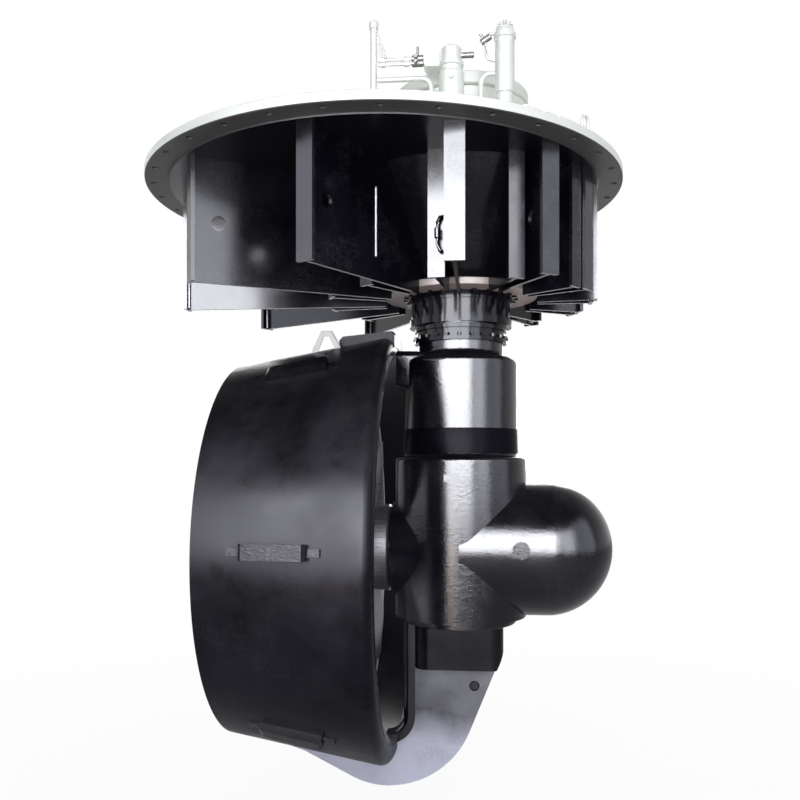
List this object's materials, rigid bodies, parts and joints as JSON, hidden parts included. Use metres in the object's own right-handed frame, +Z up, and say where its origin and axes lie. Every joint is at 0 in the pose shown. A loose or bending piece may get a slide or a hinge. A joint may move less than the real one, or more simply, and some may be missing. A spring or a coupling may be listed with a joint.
{
  "type": "azimuth thruster",
  "caption": "Steerable ducted propeller unit on an eccentric ribbed well flange, with gear driven steering and a bevel geared shaft line.",
  "frame": {"origin": "centre of the flange's bolt circle on its seating face", "axes": "+Z up along the steering axis, +X from the flange centre towards the bulb's nose with the unit dead ahead"},
  "size_m": [3.1398, 3.1398, 4.9],
  "materials": {
    "hull_paint": "glossy black two-coat marine paint",
    "deck_paint": "pale grey satin machinery paint",
    "machined_steel": "machined and oiled steel",
    "liner_steel": "stainless wear ring, overpainted",
    "seal_rubber": "black nitrile rubber",
    "propeller_metal": "cast nickel aluminium bronze, coated grey",
    "fitting_paint": "black paint over machined fittings"
  },
  "bodies": {
    "stem": {"bearing_housing": "hull_paint", "branch_pipe": "deck_paint", "case_bolts": "deck_paint", "case_cover": "deck_paint", "control_pipes": "deck_paint", "housing_bolts": "fitting_paint", "input_bearing": "machined_steel", "input_cap": "deck_paint", "input_seal": "seal_rubber", "input_tower": "deck_paint", "long_rib_faceplates": "hull_paint", "long_ribs": "hull_paint", "mounting_flange": "deck_paint", "oil_canister": "deck_paint", "rim_eyes": "deck_paint", "riser_pipe": "deck_paint", "short_rib_faceplates": "hull_paint", "short_ribs": "hull_paint", "slewing_outer_ring": "machined_steel", "steering_bush": "machined_steel", "steering_case": "deck_paint", "steering_motor_1": "deck_paint", "steering_motor_2": "deck_paint", "stem_base_disc": "hull_paint", "stem_cone": "hull_paint", "stem_seal": "seal_rubber", "valve_block": "deck_paint"},
    "azimuth_unit": {"steering_tube": "machined_steel", "lower_ring": "hull_paint", "lower_ring_bolts": "fitting_paint", "slewing_inner_ring": "machined_steel", "ring_gear": "machined_steel", "gear_housing": "hull_paint", "nose_cap": "hull_paint", "bottom_flange": "hull_paint", "strut_block": "hull_paint", "skeg_fin": "hull_paint", "skeg_edge": "hull_paint", "nozzle_shell": "hull_paint", "nozzle_liner": "liner_steel", "nozzle_saddle": "hull_paint", "nozzle_anodes": "hull_paint", "anode_straps": "hull_paint", "lifting_lug": "deck_paint", "leg_pad": "fitting_paint", "bulb_plug": "fitting_paint", "tail_bearing": "machined_steel", "shaft_seal": "seal_rubber", "thrust_bearing": "machined_steel", "bearing_carrier": "machined_steel", "pinion_bearing": "machined_steel"},
    "propeller_line": {"propeller": "propeller_metal", "propeller_cap": "propeller_metal", "propeller_shaft": "machined_steel", "crown_wheel": "machined_steel"},
    "drive_line": {"drive_shaft": "machined_steel", "input_coupling": "machined_steel", "bevel_pinion": "machined_steel"},
    "steering_pinion_a": {"steering_pinion_1": "machined_steel"},
    "steering_pinion_b": {"steering_pinion_2": "machined_steel"}
  },
  "joints": [
    {"name": "azimuth_turn", "type": "hinge", "parent": "stem", "child": "azimuth_unit", "pos_m": [0.515, 0, 0], "axis": [0, 0, 1], "continuous": true},
    {"name": "propeller_spin", "type": "hinge", "parent": "azimuth_unit", "child": "propeller_line", "pos_m": [0.515, 0, -2.381], "axis": [1, 0, 0], "continuous": true},
    {"name": "drive_shaft_spin", "type": "hinge", "parent": "azimuth_unit", "child": "drive_line", "pos_m": [0.515, 0, 0], "axis": [0, 0, 1], "continuous": true},
    {"name": "steering_pinion_1_spin", "type": "hinge", "parent": "stem", "child": "steering_pinion_a", "pos_m": [0.47576, -0.62377, 0.11], "axis": [0, 0, 1], "continuous": true},
    {"name": "steering_pinion_2_spin", "type": "hinge", "parent": "stem", "child": "steering_pinion_b", "pos_m": [0.55424, 0.62377, 0.11], "axis": [0, 0, 1], "continuous": true}
  ],
  "couplings": [
    {"joint": "drive_shaft_spin", "follows": "propeller_spin", "ratio": -3},
    {"joint": "steering_pinion_1_spin", "follows": "azimuth_turn", "ratio": -4},
    {"joint": "steering_pinion_2_spin", "follows": "azimuth_turn", "ratio": -4}
  ]
}
